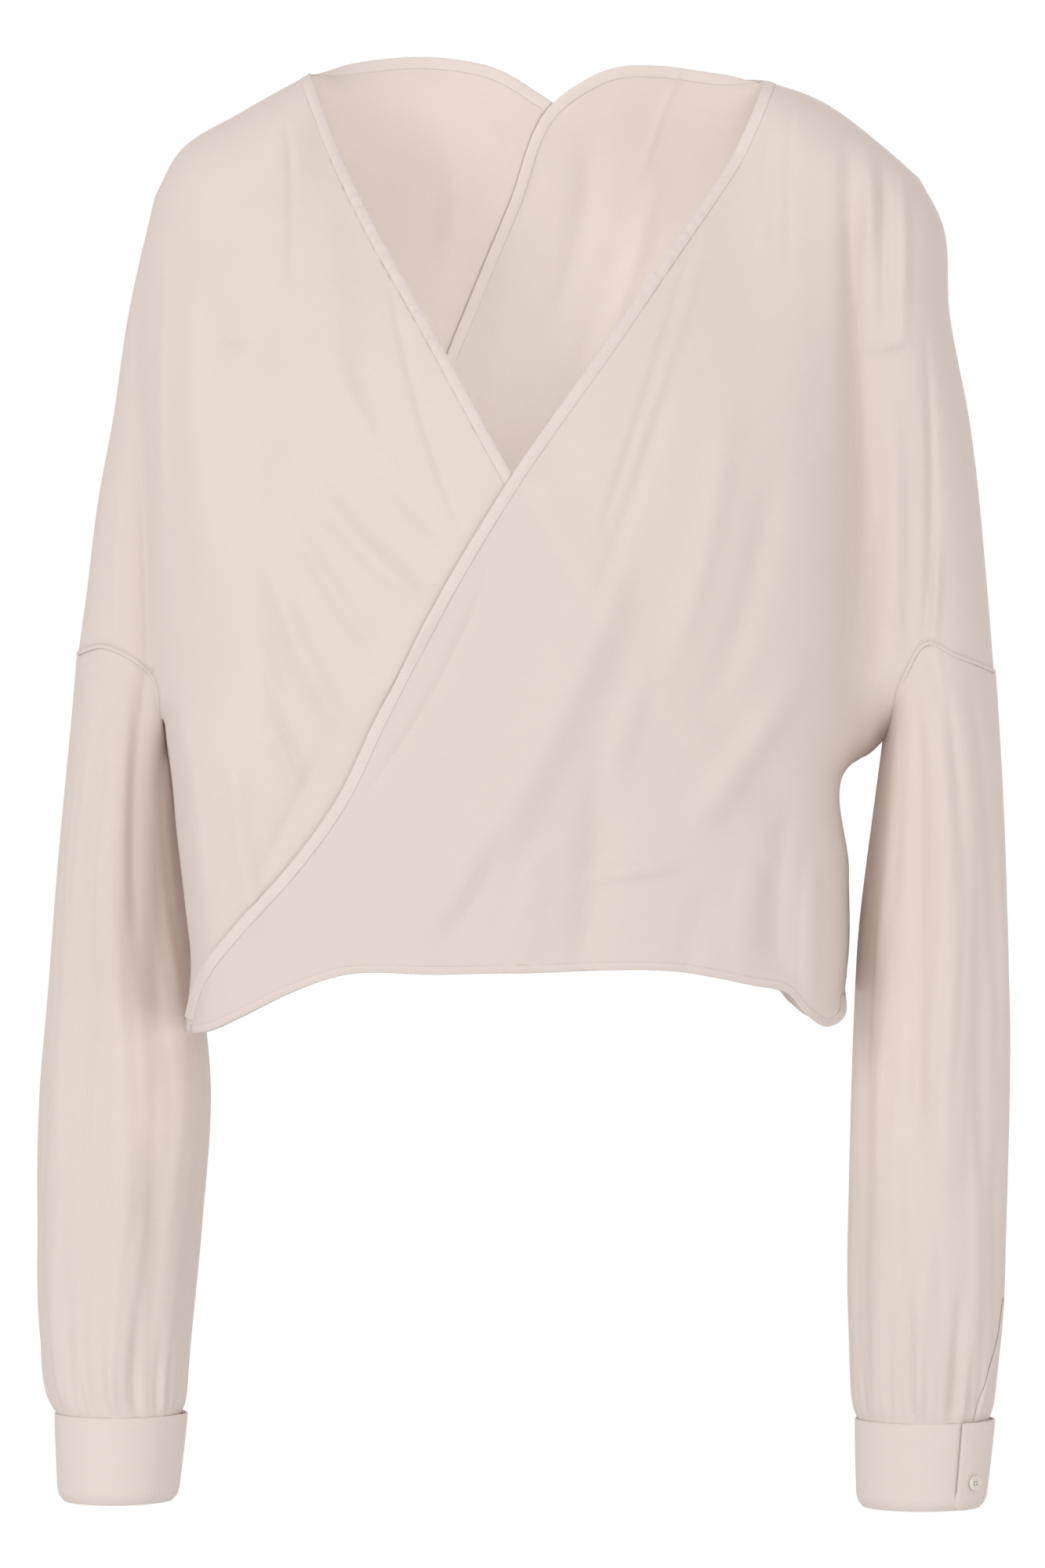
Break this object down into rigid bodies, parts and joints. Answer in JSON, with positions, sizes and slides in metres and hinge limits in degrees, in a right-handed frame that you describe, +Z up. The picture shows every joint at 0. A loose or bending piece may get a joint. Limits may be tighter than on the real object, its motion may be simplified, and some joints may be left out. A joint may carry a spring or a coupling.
{
  "type": "blouse",
  "caption": "Cropped wrap blouse with crossed fronts and crossed backs, dropped shoulders, full sleeves and buttoned cuffs, in its hollow worn form.",
  "frame": {"origin": "midway between the two points where the neck edges meet on the shoulders, where the wearer's shoulders hold the garment", "axes": "+X towards the wearer's left, -Y towards the front, +Z up"},
  "size_m": [0.4882, 0.2386, 0.7278],
  "materials": {
    "cloth": "semi-sheer plain weave, matt with a faint sheen",
    "binding": "folded strip of the same cloth, lightly puckered",
    "button": "pearly"
  },
  "bodies": {
    "root": {"front_left_over": "cloth", "front_right_under": "cloth", "back_right_over": "cloth", "back_left_under": "cloth", "binding_front_left": "binding", "binding_front_right": "binding", "binding_back_right": "binding", "binding_back_left": "binding", "sleeve_left": "cloth", "sleeve_right": "cloth", "cuff_left": "cloth", "cuff_right": "cloth", "button_left": "button", "button_right": "button"}
  },
  "joints": []
}
